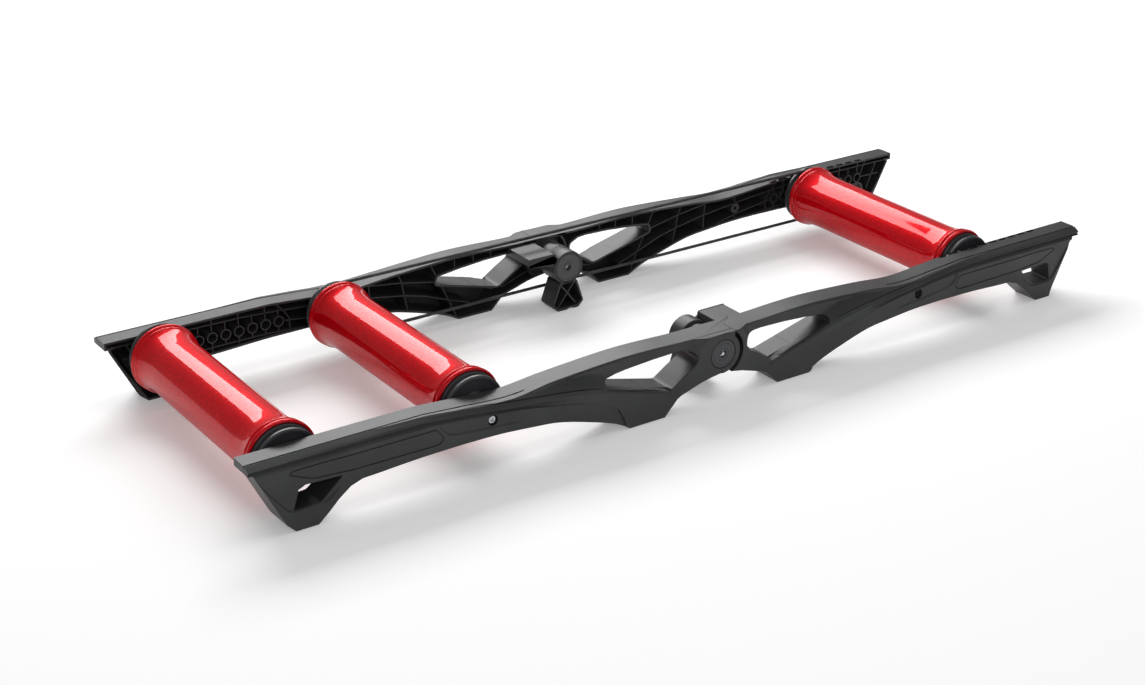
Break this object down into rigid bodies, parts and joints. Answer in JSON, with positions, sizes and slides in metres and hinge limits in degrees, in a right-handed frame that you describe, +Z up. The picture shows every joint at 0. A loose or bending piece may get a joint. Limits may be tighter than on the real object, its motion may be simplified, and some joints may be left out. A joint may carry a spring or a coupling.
{
  "type": "bike rollers",
  "caption": "Folding bicycle training rollers: flared drums on axles between ribbed moulded rails hinged in the middle, with a round drive belt.",
  "frame": {"origin": "on the floor, in the middle of the length and the width, under the hinge axis", "axes": "+X along the rails towards the single front drum, +Y across towards the belt side, +Z up"},
  "size_m": [1.37, 0.4584, 0.1129],
  "materials": {
    "moulded_rail": "satin charcoal moulded plastic",
    "axle_cover": "satin black moulded plastic",
    "drum_shell": "glossy red with fine metallic flake",
    "end_cap": "matt black moulded plastic",
    "bearing_steel": "ground bearing steel",
    "steel_hardware": "bright turned steel",
    "drive_belt": "matt dark grey elastic cord"
  },
  "bodies": {
    "rear_frame": {"near_rear_rail": "moulded_rail", "far_rear_rail": "moulded_rail", "near_rear_axle_cover": "axle_cover", "far_rear_axle_cover": "axle_cover", "near_hinge_pin": "steel_hardware", "near_pivot_cap": "end_cap", "far_hub_disc": "end_cap", "rear_axle": "steel_hardware", "middle_axle": "steel_hardware", "drive_belt": "drive_belt", "rear_near_spacer": "steel_hardware", "rear_near_axle_bolt": "steel_hardware", "rear_far_spacer": "steel_hardware", "rear_far_axle_bolt": "steel_hardware", "middle_near_spacer": "steel_hardware", "middle_near_axle_bolt": "steel_hardware", "middle_far_spacer": "steel_hardware", "middle_far_axle_bolt": "steel_hardware"},
    "front_frame": {"near_front_rail": "moulded_rail", "far_front_rail": "moulded_rail", "near_front_axle_cover": "axle_cover", "far_front_axle_cover": "axle_cover", "far_hinge_pin": "steel_hardware", "far_pivot_cap": "end_cap", "near_hub_disc": "end_cap", "front_axle": "steel_hardware", "front_near_spacer": "steel_hardware", "front_near_axle_bolt": "steel_hardware", "front_far_spacer": "steel_hardware", "front_far_axle_bolt": "steel_hardware"},
    "rear_drum_assembly": {"rear_drum": "drum_shell", "rear_near_end_cap": "end_cap", "rear_near_bearing": "bearing_steel", "rear_far_end_cap": "end_cap", "rear_far_bearing": "bearing_steel"},
    "middle_drum_assembly": {"middle_drum": "drum_shell", "middle_near_end_cap": "end_cap", "middle_near_bearing": "bearing_steel", "middle_far_end_cap": "end_cap", "middle_far_bearing": "bearing_steel"},
    "front_drum_assembly": {"front_drum": "drum_shell", "front_near_end_cap": "end_cap", "front_near_bearing": "bearing_steel", "front_far_end_cap": "end_cap", "front_far_bearing": "bearing_steel"}
  },
  "joints": [
    {"name": "rear_drum_spin", "type": "hinge", "parent": "rear_frame", "child": "rear_drum_assembly", "pos_m": [-0.6138, 0, 0.066], "axis": [0, 1, 0], "continuous": true},
    {"name": "middle_drum_spin", "type": "hinge", "parent": "rear_frame", "child": "middle_drum_assembly", "pos_m": [-0.357, 0, 0.066], "axis": [0, 1, 0], "continuous": true},
    {"name": "front_drum_spin", "type": "hinge", "parent": "front_frame", "child": "front_drum_assembly", "pos_m": [0.4962, 0, 0.066], "axis": [0, 1, 0], "continuous": true},
    {"name": "frame_fold", "type": "hinge", "parent": "rear_frame", "child": "front_frame", "pos_m": [0, 0, 0.0655], "axis": [0, 1, 0], "range_deg": [0, 55], "deforming": ["drive_belt"]}
  ],
  "couplings": [
    {"joint": "front_drum_spin", "follows": "middle_drum_spin", "ratio": 1}
  ]
}
